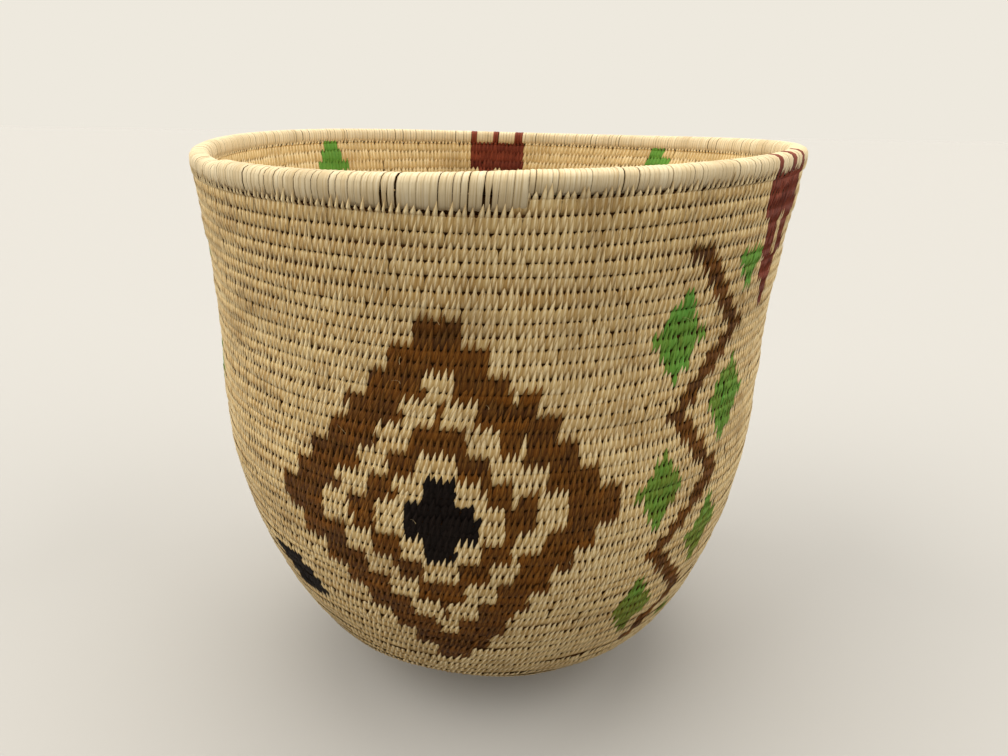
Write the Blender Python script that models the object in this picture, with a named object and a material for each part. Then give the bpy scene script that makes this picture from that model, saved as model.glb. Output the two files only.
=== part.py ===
"""Coiled basket of sewn fibre bundles, modelled round by round.

The basket is one long foundation coil. It starts beside a small knot in the middle of
the base, winds outwards as a flat spiral, turns up through a rounded bowl, climbs the
wall and ends at the rim. The last round is fatter, and its tail tapers away on top of
the round below, held down by long lashing stitches. The coil is worked in spliced
lengths of fibre, and each length is its own solid.

Frame: metres, +Z up, the origin in the middle of the face that the basket rests on,
the coil's end towards -Y.
"""

import math
from functools import partial

import bmesh
import bpy
from mathutils import Vector
from mathutils.geometry import interpolate_bezier

# Outline of the basket: radii run from the axis to the middle of the coil
BASE_RADIUS = 0.030
HEEL_RADIUS = 0.0445
HEEL_HEIGHT = 0.0100
BOWL_RADIUS = 0.0635
BOWL_HEIGHT = 0.0237
BELLY_RADIUS = 0.0800
BELLY_HEIGHT = 0.0700
NECK_RADIUS = 0.0822
NECK_HEIGHT = 0.1270
RIM_RADIUS = 0.0860
BASKET_HEIGHT = 0.1666

# The coil: its rounds, its section and the fatter round at the rim
COIL_PITCH = 0.0034
COIL_THICKNESS = 0.0042
GROOVE_DEPTH = 0.0009
KNOT_RADIUS = 0.0040
RIM_COIL_HEIGHT = 0.0052
RIM_COIL_THICKNESS = 0.0052

# How many spliced lengths each stretch of the coil is worked in
BASE_COIL_COUNT = 2
BOWL_COIL_COUNT = 4
WALL_COIL_COUNT = 13

# The end of the coil and the stitches that lash it down
COIL_END_ANGLE = math.radians(-85.0)
TAIL_TIP_HEIGHT = 0.0010
TAIL_TIP_THICKNESS = 0.0024
LASH_COUNT = 12
LASH_WIDTH = 0.0016
LASH_SPACING = 0.0022
LASH_THICKNESS = 0.0006

# Clearances between pieces, and how deep the underside is pressed flat and worn
SEAM_GAP = 0.0005
SPLICE_GAP = 0.0004
LASH_GAP = 0.0003
REST_CUT = 0.0005
RIDGE_WEAR = 0.0001

# Handmade irregularity: the belly sways to the left, and the rim is a shallow saddle
BELLY_SWAY = 0.0015
RIM_SADDLE = 0.0014
SADDLE_RIDGE = math.radians(-18.0)

# Resolution
STATIONS_PER_TURN = 20
TAIL_STATIONS = 3
PROFILE_STEPS = 24
SHARP_ANGLE = math.radians(40.0)
OCTAGON = math.tan(math.radians(22.5))

PALM_STRIP = (0.578, 0.429, 0.208, 1.0)
RIM_STRIP = (0.745, 0.610, 0.352, 1.0)
FOUNDATION_FIBRE = (0.451, 0.319, 0.147, 1.0)


def clear_scene() -> None:
    """Remove every object, so that the script starts from nothing."""
    for item in list(bpy.data.objects):
        bpy.data.objects.remove(item, do_unlink=True)


def make_material(name: str, colour: tuple, roughness: float) -> bpy.types.Material:
    """Make a plain surface from a linear colour and a roughness."""
    material = bpy.data.materials.new(name)
    material.use_nodes = True
    surface = material.node_tree.nodes["Principled BSDF"]
    surface.inputs["Base Color"].default_value = colour
    surface.inputs["Roughness"].default_value = roughness
    surface.inputs["Metallic"].default_value = 0.0
    return material


def profile_line() -> list:
    """Return the middle line of base and wall as points (radius, height)."""
    rest = COIL_THICKNESS / 2 - REST_CUT
    knots = [
        Vector((BASE_RADIUS, rest)),
        Vector((HEEL_RADIUS, HEEL_HEIGHT)),
        Vector((BOWL_RADIUS, BOWL_HEIGHT)),
        Vector((BELLY_RADIUS, BELLY_HEIGHT)),
        Vector((NECK_RADIUS, NECK_HEIGHT)),
        Vector((RIM_RADIUS, BASKET_HEIGHT)),
    ]
    slopes = [Vector((1.0, 0.0))]
    for before, after in zip(knots, knots[2:]):
        slopes.append((after - before).normalized())
    slopes.append((knots[-1] - knots[-2]).normalized())

    line = [Vector((0.0, rest))]
    for index in range(len(knots) - 1):
        start, end = knots[index], knots[index + 1]
        reach = (end - start).length / 3
        curve = interpolate_bezier(
            start,
            start + slopes[index] * reach,
            end - slopes[index + 1] * reach,
            end,
            PROFILE_STEPS,
        )
        line.extend(curve if index == 0 else curve[1:])
    return line


class Wall:
    """The basket's middle surface, measured along its profile from the axis outwards."""

    def __init__(self) -> None:
        self.line = profile_line()
        self.marks = [0.0]
        for start, end in zip(self.line, self.line[1:]):
            self.marks.append(self.marks[-1] + (end - start).length)
        self.length = self.marks[-1]

        wound = self.length - KNOT_RADIUS - RIM_COIL_HEIGHT
        self.end = round(wound / COIL_PITCH * STATIONS_PER_TURN)
        self.climb = wound / self.end

    def along(self, distance: float) -> Vector:
        """Return the profile's (radius, height) at a distance from the axis."""
        index = 1
        while index < len(self.marks) - 1 and self.marks[index] < distance:
            index += 1
        start, end = self.line[index - 1], self.line[index]
        share = (distance - self.marks[index - 1]) / (self.marks[index] - self.marks[index - 1])
        return start + (end - start) * share

    def point(self, distance: float, offset: float, station: float) -> Vector:
        """Return a point in space.

        Args:
            distance: Distance along the profile from the axis.
            offset: Distance outwards from the middle of the wall.
            station: Place along the coil, in steps from its start.
        """
        reach = COIL_PITCH / 2
        spot = self.along(distance)
        tangent = (self.along(distance + reach) - self.along(distance - reach)).normalized()
        radius = spot.x + tangent.y * offset
        height = spot.y - tangent.x * offset
        angle = COIL_END_ANGLE + (self.end - station) * math.tau / STATIONS_PER_TURN
        rise = height / BASKET_HEIGHT
        sway = BELLY_SWAY * math.sin(math.pi * rise) ** 2
        saddle = RIM_SADDLE * rise * abs(rise) * math.cos(2 * (angle - SADDLE_RIDGE))
        return Vector((
            radius * math.cos(angle) - sway,
            radius * math.sin(angle),
            height + saddle,
        ))

    def seam(self, station: float) -> float:
        """Return where the seam under the coil lies, at a station along the coil."""
        past_end = (station - self.end) / TAIL_STATIONS
        swell = min(max(past_end, 0.0), 1.0)
        return KNOT_RADIUS + self.climb * station + (RIM_COIL_HEIGHT - self.pitch) * swell

    @property
    def pitch(self) -> float:
        """Height of one round of the coil."""
        return self.climb * STATIONS_PER_TURN


def coil_section(wall: Wall, station: int) -> list:
    """Return the wall coil's five corners: shoulders and ridge outside, flat inside."""
    low = wall.seam(station) + SEAM_GAP / 2
    high = wall.seam(station + STATIONS_PER_TURN) - SEAM_GAP / 2
    face = COIL_THICKNESS / 2
    shoulder = face - GROOVE_DEPTH
    corners = (
        (low, -face),
        (low, shoulder),
        ((low + high) / 2, face),
        (high, shoulder),
        (high, -face),
    )
    return [wall.point(distance, offset, station) for distance, offset in corners]


def pressed_section(wall: Wall, station: int) -> list:
    """Return the base coil's six corners, its ridge pressed flat where it meets the floor."""
    inner_low, low, ridge, high, inner_high = coil_section(wall, station)
    drop = max(low.z - ridge.z, high.z - ridge.z, REST_CUT)
    share = min(max(-ridge.z / drop, RIDGE_WEAR / GROOVE_DEPTH), 1.0)
    flat = [ridge.lerp(low, share), ridge.lerp(high, share)]
    for corner in flat:
        corner.z = max(corner.z, 0.0)
    return [inner_low, low, flat[0], flat[1], high, inner_high]


def octagon(wall: Wall, station: int, low: float, high: float, width: float, grow: float) -> list:
    """Return a rounded eight-sided outline between two distances along the profile.

    Args:
        wall: The basket's middle surface.
        station: Whole station along the coil.
        low: Distance of the outline's lower face.
        high: Distance of its upper face.
        width: Thickness across the wall.
        grow: How far every face is moved outwards.
    """
    middle = (low + high) / 2
    tall = (high - low) / 2
    wide = width / 2
    edge = grow * OCTAGON
    corners = (
        (-tall - grow, -wide * OCTAGON - edge),
        (-tall - grow, wide * OCTAGON + edge),
        (-tall * OCTAGON - edge, wide + grow),
        (tall * OCTAGON + edge, wide + grow),
        (tall + grow, wide * OCTAGON + edge),
        (tall + grow, -wide * OCTAGON - edge),
        (tall * OCTAGON + edge, -wide - grow),
        (-tall * OCTAGON - edge, -wide - grow),
    )
    return [wall.point(middle + along, offset, station) for along, offset in corners]


def rim_section(wall: Wall, station: int, grow: float = 0.0) -> list:
    """Return the rim coil's outline, which swells at its start and tapers in its tail."""
    low = wall.seam(station) + SEAM_GAP / 2
    if station <= wall.end:
        swell = min((station - (wall.end - STATIONS_PER_TURN)) / TAIL_STATIONS, 1.0)
        high = wall.seam(station + STATIONS_PER_TURN) - SEAM_GAP / 2
        width = COIL_THICKNESS + (RIM_COIL_THICKNESS - COIL_THICKNESS) * swell
        return octagon(wall, station, low, high, width, grow)
    taper = (station - wall.end) / TAIL_STATIONS
    full = wall.length - SEAM_GAP / 2
    tip = wall.seam(wall.end + TAIL_STATIONS) + SEAM_GAP / 2 + TAIL_TIP_HEIGHT
    high = full + (tip - full) * taper
    width = RIM_COIL_THICKNESS + (TAIL_TIP_THICKNESS - RIM_COIL_THICKNESS) * taper
    return octagon(wall, station, low, high, width, grow)


def lash_path(wall: Wall, grow: float, station: int) -> list:
    """Return the way a lashing takes: up the outside, over the tail and down the inside."""
    below = rim_section(wall, station - STATIONS_PER_TURN, grow)
    above = rim_section(wall, station, grow)
    return [below[2], below[3], *above[2:8], below[6], below[7]]


def between(outline, station: float) -> list:
    """Return an outline at any station, on the straight run between whole stations."""
    low = math.floor(station)
    share = station - low
    return [a.lerp(b, share) for a, b in zip(outline(low), outline(low + 1))]


def add_object(name: str, bm: bmesh.types.BMesh, material: bpy.types.Material) -> bpy.types.Object:
    """Turn a finished bmesh into a named object with smooth round sides."""
    bmesh.ops.recalc_face_normals(bm, faces=bm.faces)
    mesh = bpy.data.meshes.new(name)
    bm.to_mesh(mesh)
    bm.free()
    mesh.shade_smooth()
    mesh.set_sharp_from_angle(angle=SHARP_ANGLE)
    mesh.materials.append(material)
    item = bpy.data.objects.new(name, mesh)
    bpy.context.scene.collection.objects.link(item)
    return item


def loft(bm: bmesh.types.BMesh, rings: list) -> None:
    """Skin a row of outlines and cap both ends."""
    rows = [[bm.verts.new(point) for point in ring] for ring in rings]
    for row, following in zip(rows, rows[1:]):
        for index in range(len(row)):
            after = (index + 1) % len(row)
            bm.faces.new((row[index], row[after], following[after], following[index]))
    bm.faces.new(rows[0])
    bm.faces.new(rows[-1])


def splice_trim(wall: Wall, station: float) -> float:
    """Return the share of a station step that a butt end gives up to its gap."""
    radius = wall.along(wall.seam(station) + wall.pitch / 2).x
    step = radius * math.tau / STATIONS_PER_TURN
    return SPLICE_GAP / 2 / step


def coil_length(wall: Wall, name: str, first: int, last: int, section, material) -> bpy.types.Object:
    """Model one spliced length of the coil between two whole stations."""
    outline = partial(section, wall)
    rings = [between(outline, first + splice_trim(wall, first))]
    rings += [outline(station) for station in range(first + 1, last)]
    rings.append(between(outline, last - splice_trim(wall, last)))
    bm = bmesh.new()
    loft(bm, rings)
    return add_object(name, bm, material)


def start_knot(wall: Wall, material) -> bpy.types.Object:
    """Model the knot in the middle of the base, stepped where the coil's start butts on it."""
    stations = [float(station) for station in range(STATIONS_PER_TURN)]
    stations.append(STATIONS_PER_TURN - splice_trim(wall, 0))
    edge = COIL_THICKNESS / 2 - GROOVE_DEPTH
    bevel = GROOVE_DEPTH / 2
    layers = (
        (bevel, COIL_THICKNESS / 2 - REST_CUT),
        (0.0, edge - REST_CUT),
        (0.0, -edge),
        (bevel, -COIL_THICKNESS / 2),
    )
    rings = []
    for inset, offset in layers:
        def outline(station, inset=inset, offset=offset):
            distance = wall.seam(station) - SEAM_GAP / 2 - inset
            return [wall.point(distance, offset, station)]
        rings.append([between(outline, station)[0] for station in stations])
    bm = bmesh.new()
    loft(bm, rings)
    return add_object("start_knot", bm, material)


def end_lashing(wall: Wall, number: int, material) -> bpy.types.Object:
    """Model one of the long stitches that tie the coil's tail to the round below it."""
    step = RIM_RADIUS * math.tau / STATIONS_PER_TURN
    half = LASH_WIDTH / 2 / step
    centre = wall.end + (number - 0.5) * LASH_SPACING / step
    inside = partial(lash_path, wall, LASH_GAP)
    outside = partial(lash_path, wall, LASH_GAP + LASH_THICKNESS)
    sides = [
        between(inside, centre - half),
        between(outside, centre - half),
        between(outside, centre + half),
        between(inside, centre + half),
    ]
    bm = bmesh.new()
    loft(bm, [list(ring) for ring in zip(*sides)])
    return add_object(f"end_lashing_{number:02d}", bm, material)


def split(first: int, last: int, count: int) -> list:
    """Return whole stations that divide a stretch of coil into so many spliced lengths."""
    return [first + round((last - first) * index / count) for index in range(count + 1)]


def least_self_gap(wall: Wall, first: int, last: int, section) -> float:
    """Return the least distance between neighbouring rounds of one length, on its corners."""
    gap = math.inf
    for station in range(first, last - STATIONS_PER_TURN):
        lower = section(wall, station)
        upper = section(wall, station + STATIONS_PER_TURN)
        gap = min(gap, (lower[-1] - upper[0]).length, (lower[-2] - upper[1]).length)
    return gap


def centre_on_origin(items: list) -> None:
    """Move every mesh so that the basket's outline is centred on the origin."""
    points = [vertex.co for item in items for vertex in item.data.vertices]
    middle = Vector((
        (min(point.x for point in points) + max(point.x for point in points)) / 2,
        (min(point.y for point in points) + max(point.y for point in points)) / 2,
        min(point.z for point in points),
    ))
    for item in items:
        for vertex in item.data.vertices:
            vertex.co -= middle


def main() -> None:
    """Build the basket from the knot outwards."""
    clear_scene()
    wall = Wall()
    strip = make_material("natural_palm_strip", PALM_STRIP, 0.62)
    rim_strip = make_material("rim_palm_strip", RIM_STRIP, 0.55)
    fibre = make_material("foundation_fibre", FOUNDATION_FIBRE, 0.75)

    rim_start = wall.end - STATIONS_PER_TURN
    base_end = round((BASE_RADIUS - KNOT_RADIUS) / wall.climb)
    bowl_length = next(
        mark for mark, spot in zip(wall.marks, wall.line) if spot.y >= BOWL_HEIGHT
    )
    bowl_end = round((bowl_length - KNOT_RADIUS) / wall.climb)

    stretches = (
        ("base_coil", BASE_COIL_COUNT, 0, base_end, pressed_section),
        ("bowl_coil", BOWL_COIL_COUNT, base_end, bowl_end, pressed_section),
        ("wall_coil", WALL_COIL_COUNT, bowl_end, rim_start, coil_section),
    )
    items = [start_knot(wall, fibre)]
    gap = math.inf
    for name, count, start, stop, section in stretches:
        marks = split(start, stop, count)
        for index, (first, last) in enumerate(zip(marks, marks[1:]), 1):
            label = f"{name}_{index:02d}"
            items.append(coil_length(wall, label, first, last, section, strip))
            gap = min(gap, least_self_gap(wall, first, last, section))
    items.append(
        coil_length(wall, "rim_coil", rim_start, wall.end + TAIL_STATIONS, rim_section, rim_strip)
    )
    items += [end_lashing(wall, number, rim_strip) for number in range(1, LASH_COUNT + 1)]
    centre_on_origin(items)
    print(f"rounds of coil: {wall.end / STATIONS_PER_TURN:.2f}")
    print(f"least gap of a coil length to itself: {gap * 1000:.2f} mm")


if __name__ == "__main__":
    main()
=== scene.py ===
"""Coiled basket, dressed: every stitch of palm strip is its own little strip of leaf.

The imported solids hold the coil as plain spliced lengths. This script lays the sewing over
them: a dark foundation coil, the strips that wrap each round outside and inside, the pale
binding of the rim, the long stitches that lash the coil's tail down, the radiating start
knot under the middle of the base, and a few stray fibres. Lengths are in metres.
"""

import logging
import math
from dataclasses import dataclass, field
from enum import IntEnum
from typing import Any

import bpy
import numpy as np
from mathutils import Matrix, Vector
from mathutils.geometry import interpolate_bezier


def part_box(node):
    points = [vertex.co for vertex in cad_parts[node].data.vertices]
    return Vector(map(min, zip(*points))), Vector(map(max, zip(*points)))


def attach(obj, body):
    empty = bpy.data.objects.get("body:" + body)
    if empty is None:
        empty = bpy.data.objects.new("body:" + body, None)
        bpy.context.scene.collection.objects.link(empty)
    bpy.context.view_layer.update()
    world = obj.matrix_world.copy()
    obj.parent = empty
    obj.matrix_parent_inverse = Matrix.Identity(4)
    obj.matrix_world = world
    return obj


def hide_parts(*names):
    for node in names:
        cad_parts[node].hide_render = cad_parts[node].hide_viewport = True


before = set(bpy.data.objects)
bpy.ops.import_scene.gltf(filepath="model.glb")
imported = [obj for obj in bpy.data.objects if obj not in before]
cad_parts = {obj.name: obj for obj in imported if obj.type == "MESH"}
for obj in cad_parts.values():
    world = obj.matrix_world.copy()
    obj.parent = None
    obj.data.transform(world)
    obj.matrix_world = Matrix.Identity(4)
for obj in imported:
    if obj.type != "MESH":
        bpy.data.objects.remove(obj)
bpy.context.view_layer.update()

LOG = logging.getLogger("basket")
BODY = "root"
MM = 0.001
TURN = math.tau
Array = np.ndarray
Pair = tuple[float, float]
UV_NAME = "strip"
MARKS_NAME = "strip_marks"
# On each strip the leaf's pattern starts anywhere in a square of so many millimetres
PATTERN_SPREAD = 400.0


class Dye(IntEnum):
    """The colours that the palm strips come in."""

    NATURAL = 0
    BROWN = 1
    BLACK = 2
    GREEN = 3
    RUST = 4


class Side(IntEnum):
    """Which face of the wall a strip lies on."""

    OUTSIDE = 1
    INSIDE = -1


def linear(hex_colour: str) -> tuple[float, float, float, float]:
    """Turn an sRGB hex colour into the linear colour that a shader socket takes.

    Args:
        hex_colour: Six hex digits after a hash.

    Returns:
        Red, green, blue and an alpha of 1.
    """
    channels = [int(hex_colour[place:place + 2], 16) / 255 for place in (1, 3, 5)]
    scaled = [c / 12.92 if c <= 0.04045 else ((c + 0.055) / 1.055) ** 2.4 for c in channels]
    return (*scaled, 1.0)


def add_node(
    tree: bpy.types.NodeTree, kind: str, feeds: dict[Any, Any] | None = None, **settings: Any
) -> bpy.types.Node:
    """Add a node with its settings, and fill or link its inputs.

    Args:
        tree: Node tree that takes the node.
        kind: Blender's name for the node type.
        feeds: Input name or number to a value, or to the output socket that feeds it.
        settings: Attributes of the node.

    Returns:
        The new node.
    """
    node = tree.nodes.new(kind)
    for name, value in settings.items():
        setattr(node, name, value)
    for name, feed in (feeds or {}).items():
        if isinstance(feed, bpy.types.NodeSocket):
            tree.links.new(feed, node.inputs[name])
        else:
            node.inputs[name].default_value = feed
    return node


def new_material(name: str) -> tuple[bpy.types.Material, bpy.types.NodeTree, bpy.types.Node]:
    """Make a material to which nodes are then added.

    Args:
        name: Name of the material.

    Returns:
        The material, its node tree and its shader.
    """
    material = bpy.data.materials.new(name)
    material.use_nodes = True
    return material, material.node_tree, material.node_tree.nodes["Principled BSDF"]


def in_scene(name: str, data: bpy.types.ID) -> bpy.types.Object:
    """Put a mesh, lamp or camera in the scene.

    Args:
        name: Name of the object.
        data: What the object shows.

    Returns:
        The new object.
    """
    item = bpy.data.objects.new(name, data)
    bpy.context.scene.collection.objects.link(item)
    return item


def face_outwards() -> None:
    """Turn all faces of the mesh in edit mode outwards, and leave edit mode."""
    bpy.ops.mesh.select_all(action="SELECT")
    bpy.ops.mesh.normals_make_consistent(inside=False)
    bpy.ops.object.mode_set(mode="OBJECT")


def ramp(value: Array, start: float, span: float) -> Array:
    """Return the share of a span that a value has gone, from 0 to 1."""
    return np.clip((value - start) / span, 0.0, 1.0)


def squared(wave: Array, power: float) -> Array:
    """Push a turn's sines or cosines outwards, for a section with rounded corners."""
    return np.sign(wave) * np.abs(wave) ** power


def stacked(*parts: Array) -> Array:
    """Return the parts, spread to one shape, along a new last axis."""
    return np.stack(np.broadcast_arrays(*parts), axis=-1)


def vary(random: np.random.Generator, amount: int, sizes: tuple[float, ...]) -> Array:
    """Draw uneven sizes, given their mean, spread, least and most."""
    mean, spread, least, most = sizes
    return random.normal(mean, spread, amount).clip(least, most)


def leaf_uvs(random: np.random.Generator, across: Array, along: Array) -> Array:
    """Return the strips' UVs in millimetres, each strip cut from a place of its own."""
    return stacked(across, along) + random.uniform(0.0, PATTERN_SPREAD, (len(across), 1, 2))


@dataclass(frozen=True)
class PalmStripFinish:
    """Split palm leaf, scraped thin and matt: fine fibres run along it, and each strip
    takes the dye a little differently from its neighbour."""

    name: str
    slot: str
    pale: str
    deep: str
    # Colour of the painted shade at the strips' edges and feet, and of the real stains
    shade_and_stain: str
    # Colour of the lighter fibre streaks, and of the painted highlight on tips and folds
    rubbed_and_highlight: str
    roughness: float = 0.62
    gloss: float = 0.22
    streak_depth: float = 0.54
    streak_light: float = 0.45
    # Painted highlight on the tips and on the raised middles of the folds, where light catches them
    tip_highlight: float = 0.55
    fold_highlight: float = 0.90
    # Painted shade along the edges of each strip, where it meets its neighbours
    edge_shade: float = 0.30
    # Painted shade, with some dirt, at the foot of each strip, where it goes under the round above
    foot_shade_and_dirt: float = 0.44
    # Leaf fibres are about 0.1 mm apart; drawn at 0.3 mm, so that they show
    fibre_width: float = 0.30
    fibre_length: float = 7.0
    stain_size: float = 14.0

    def material(self) -> bpy.types.Material:
        """Build the strip's material.

        Returns:
            A material that reads the strip's UV map and its marks.
        """
        material, tree, shader = new_material(self.name)
        lie = add_node(tree, "ShaderNodeUVMap", uv_map=UV_NAME)
        given = add_node(tree, "ShaderNodeAttribute", attribute_name=MARKS_NAME)
        marks = add_node(tree, "ShaderNodeSeparateXYZ", {0: given.outputs["Vector"]})
        tone, crown, reach = marks.outputs
        lengthwise = add_node(
            tree, "ShaderNodeMapping",
            {"Vector": lie.outputs["UV"],
             "Scale": (1 / self.fibre_width, 1 / self.fibre_length, 1.0)})
        fibres = add_node(
            tree, "ShaderNodeTexNoise",
            {"Vector": lengthwise.outputs["Vector"], "Scale": 1.0, "Detail": 3.0, "Roughness": 0.6},
            noise_dimensions="2D")
        place = add_node(tree, "ShaderNodeTexCoord")
        stains = add_node(
            tree, "ShaderNodeTexNoise",
            {"Vector": place.outputs["Object"], "Scale": 1000 / self.stain_size, "Detail": 4.0})
        streaks, blots = fibres.outputs["Fac"], stains.outputs["Fac"]

        # Each mask: what it reads, from where to where, and its strength at both ends
        masks = {}
        for name, reads, start, end, first, last in (
                ("dark streaks", streaks, 0.50, 0.66, 0.0, self.streak_depth),
                ("light streaks", streaks, 0.47, 0.33, 0.0, self.streak_light),
                # Painted highlight on the tips, fading towards their ends, and on the raised
                # middles along the folds
                ("tip highlight", reach, 0.84, 1.02, 0.0, self.tip_highlight),
                ("fading", reach, 1.20, 1.75, 1.0, 0.25),
                ("crest", crown, 0.64, 0.92, 0.0, self.tip_highlight),
                ("fold", reach, 0.16, 0.78, 0.0, self.fold_highlight),
                ("ridge", crown, 0.25, 0.80, 0.30, 1.0),
                # Painted shade at the edges of each strip
                ("edges", crown, 0.0, 0.40, self.edge_shade, 0.0),
                # Painted shade, with some dirt, at the foot of each strip
                ("foot", reach, 0.0, 0.30, self.foot_shade_and_dirt, 0.0),
                ("stains", blots, 0.48, 0.72, 0.0, 0.35),
                ("sheen", streaks, 0.0, 1.0, self.roughness - 0.08, self.roughness + 0.12)):
            node = add_node(
                tree, "ShaderNodeMapRange", {"Value": reads, 1: start, 2: end, 3: first, 4: last})
            masks[name] = node.outputs["Result"]
        for name, operation, one, other in (
                # Painted highlight, kept to the raised middle of each tip and fold
                ("tip highlight line", "MULTIPLY", "tip highlight", "fading"),
                ("tip highlight line", "MULTIPLY", "tip highlight line", "ridge"),
                ("fold highlight", "MULTIPLY", "crest", "fold"),
                ("painted highlight", "MAXIMUM", "tip highlight line", "fold highlight"),
                # Painted shade at edges and feet, joined with the real stains
                ("shade and dirt", "MAXIMUM", "edges", "foot"),
                ("shade and dirt", "MAXIMUM", "shade and dirt", "stains")):
            node = add_node(
                tree, "ShaderNodeMath", {0: masks[one], 1: masks[other]}, operation=operation)
            masks[name] = node.outputs[0]
        colour = linear(self.deep)
        # Layers: tone, fibre streaks, painted highlight, and last the painted shade with the real
        # stains
        for share, tint in (
                (tone, self.pale), (masks["dark streaks"], self.deep),
                (masks["light streaks"], self.rubbed_and_highlight), (masks["painted highlight"], self.rubbed_and_highlight),
                (masks["shade and dirt"], self.shade_and_stain)):
            layer = add_node(
                tree, "ShaderNodeMix", {0: share, 6: colour, 7: linear(tint)}, data_type="RGBA")
            colour = layer.outputs[2]
        relief = add_node(
            tree, "ShaderNodeBump", {"Height": streaks, "Strength": 0.5, "Distance": 0.12 * MM})
        tree.links.new(colour, shader.inputs["Base Color"])
        tree.links.new(masks["sheen"], shader.inputs["Roughness"])
        tree.links.new(relief.outputs["Normal"], shader.inputs["Normal"])
        shader.inputs["Specular IOR Level"].default_value = self.gloss
        return material


@dataclass(frozen=True)
class FoundationFinish:
    """Bundled fibre inside the stitches: dull, brown with age, seen only in the holes."""

    name: str = "foundation_palm_fibre"
    slot: str = "foundation_fibre"
    pale: str = "#60390C"
    deep: str = "#2A1702"
    # Fibres of about 0.2 mm, drawn at 0.6 mm so that they show
    fibre_width: float = 0.6
    roughness: float = 0.8
    gloss: float = 0.15

    def material(self) -> bpy.types.Material:
        """Build the bundle's material.

        Returns:
            A material that reads places in space, as the bundle has no UV map.
        """
        material, tree, shader = new_material(self.name)
        place = add_node(tree, "ShaderNodeTexCoord")
        fibres = add_node(
            tree, "ShaderNodeTexNoise",
            {"Vector": place.outputs["Object"], "Scale": 1000 / self.fibre_width, "Detail": 2.0})
        tint = add_node(
            tree, "ShaderNodeMix",
            {0: fibres.outputs["Fac"], 6: linear(self.deep), 7: linear(self.pale)},
            data_type="RGBA")
        relief = add_node(
            tree, "ShaderNodeBump",
            {"Height": fibres.outputs["Fac"], "Strength": 0.6, "Distance": 0.2 * MM})
        shader.inputs["Roughness"].default_value = self.roughness
        shader.inputs["Specular IOR Level"].default_value = self.gloss
        tree.links.new(tint.outputs[2], shader.inputs["Base Color"])
        tree.links.new(relief.outputs["Normal"], shader.inputs["Normal"])
        return material


STRIP_FINISHES = {
    Dye.NATURAL: PalmStripFinish(
        "undyed_palm_strip", "natural_strip", "#DFC082", "#AB7F3C", "#714A16", "#FFEBBC",
        streak_light=0.50, tip_highlight=0.95),
    Dye.BROWN: PalmStripFinish(
        "brown_dyed_palm_strip", "brown_strip", "#77440A", "#3F2104", "#241102", "#9C6D2E",
        gloss=0.14, streak_depth=0.8, streak_light=0.35, tip_highlight=0.35),
    Dye.BLACK: PalmStripFinish(
        "black_dyed_palm_strip", "black_strip", "#140D0A", "#090605", "#050303", "#241B16",
        roughness=0.7, gloss=0.07, tip_highlight=0.25),
    Dye.GREEN: PalmStripFinish(
        "green_dyed_palm_strip", "green_strip", "#5E9F36", "#6A6A12", "#2C3C0A", "#8DBA58",
        streak_depth=0.4, streak_light=0.35, tip_highlight=0.30),
    Dye.RUST: PalmStripFinish(
        "rust_dyed_palm_strip", "rust_strip", "#863D29", "#582014", "#38110A", "#A45A40",
        gloss=0.14, streak_light=0.30, tip_highlight=0.25),
}
# The rim's strips are a paler copy of the undyed strip: the paleness is painted light, for the
# light from above that falls on the rim. Its edge shade paints the dark lines between wraps, and
# its foot shade the rim's shaded underside.
RIM_FINISH = PalmStripFinish(
    "pale_rim_palm_strip", "rim_strip", "#EBDAB4", "#CBAE7A", "#8F7140", "#F6E9CA",
    roughness=0.55, streak_depth=0.45, tip_highlight=0.0, edge_shade=0.55, foot_shade_and_dirt=0.16)


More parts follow.
